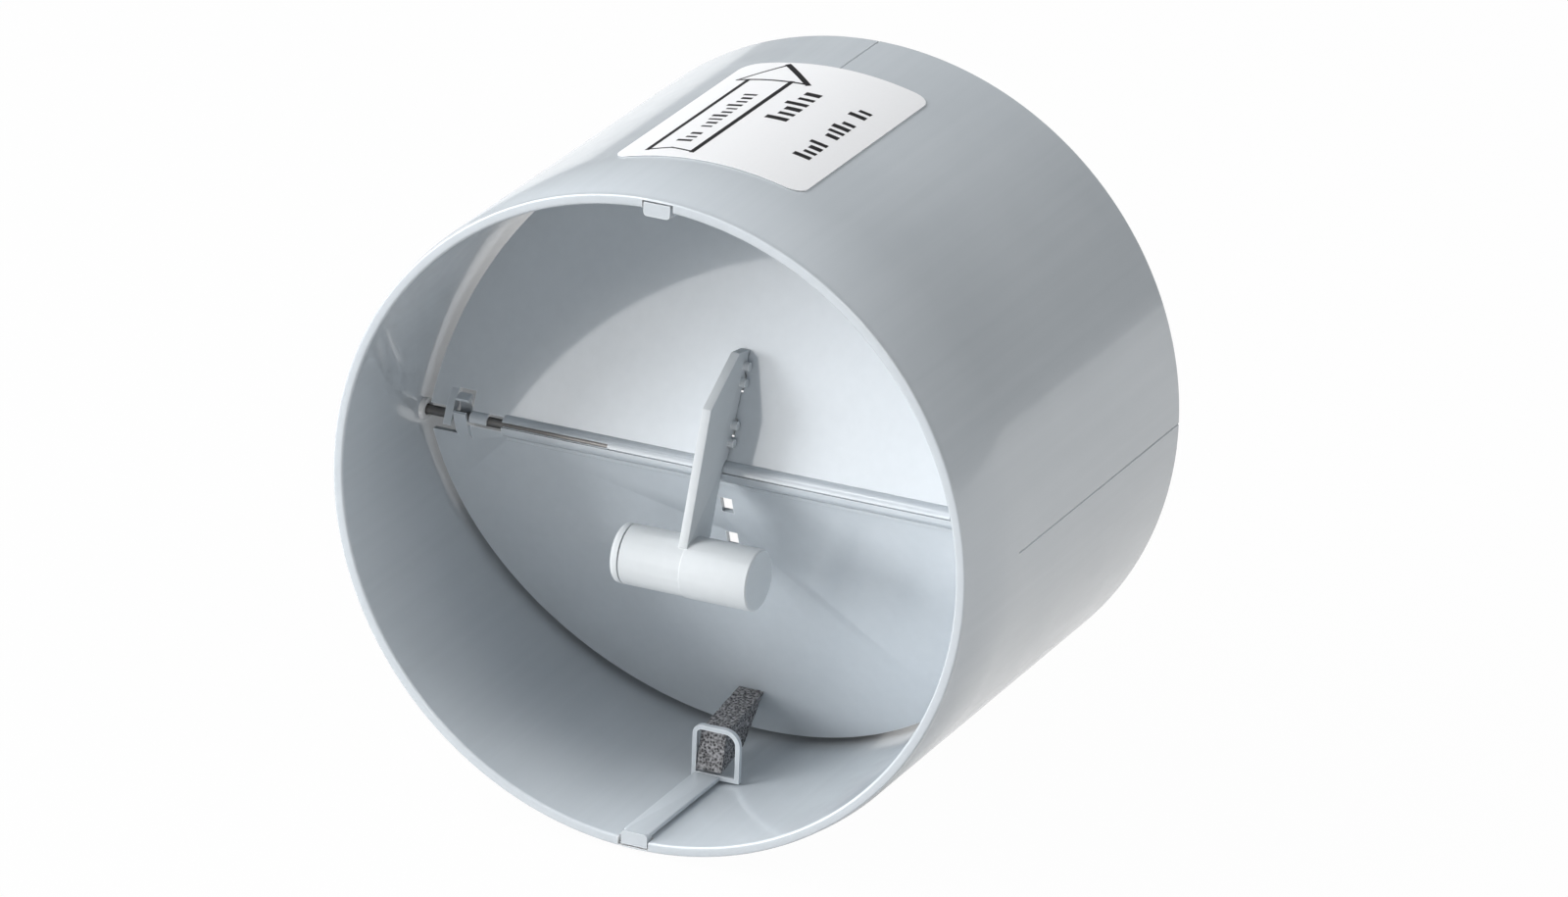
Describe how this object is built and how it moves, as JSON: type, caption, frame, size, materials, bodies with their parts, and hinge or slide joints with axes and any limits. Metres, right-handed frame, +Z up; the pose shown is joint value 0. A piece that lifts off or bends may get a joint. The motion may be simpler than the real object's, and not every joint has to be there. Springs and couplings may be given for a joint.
{
  "type": "backdraft damper",
  "caption": "Short round duct section with half-disc flaps on a cross rod, a counterweight and foam stops, that lets air pass one way only.",
  "frame": {"origin": "middle of the inlet rim, on the tube's axis", "axes": "+Y along the tube in the direction of air flow, +Z up towards the label, +X along the hinge rod"},
  "size_m": [0.124, 0.0928, 0.1243],
  "materials": {
    "grey_plastic": "smooth moulded light blue-grey, glossy",
    "flap_plastic": "smooth moulded light blue-grey, glossy",
    "arm_plastic": "smooth moulded pale grey",
    "steel": "drawn dark grey",
    "foam": "open-pored dark grey foam",
    "label_film": "white printed film"
  },
  "bodies": {
    "housing": {"housing_tube": "grey_plastic", "hinge_rod": "steel", "top_stop_rail": "grey_plastic", "bottom_stop_rail": "grey_plastic", "top_foam_stop": "foam", "bottom_foam_stop": "foam", "flow_label": "label_film"},
    "upper_leaf": {"upper_flap": "flap_plastic", "counterweight_arm": "arm_plastic", "weight_cap": "arm_plastic", "steel_weight": "steel"},
    "lower_leaf": {"lower_flap": "flap_plastic"}
  },
  "joints": [
    {"name": "upper_flap_hinge", "type": "hinge", "parent": "housing", "child": "upper_leaf", "pos_m": [0, 0.0315, 0], "axis": [-1, 0, 0], "range_deg": [0, 50]},
    {"name": "lower_flap_hinge", "type": "hinge", "parent": "housing", "child": "lower_leaf", "pos_m": [0, 0.0315, 0], "axis": [1, 0, 0], "range_deg": [0, 52]}
  ]
}
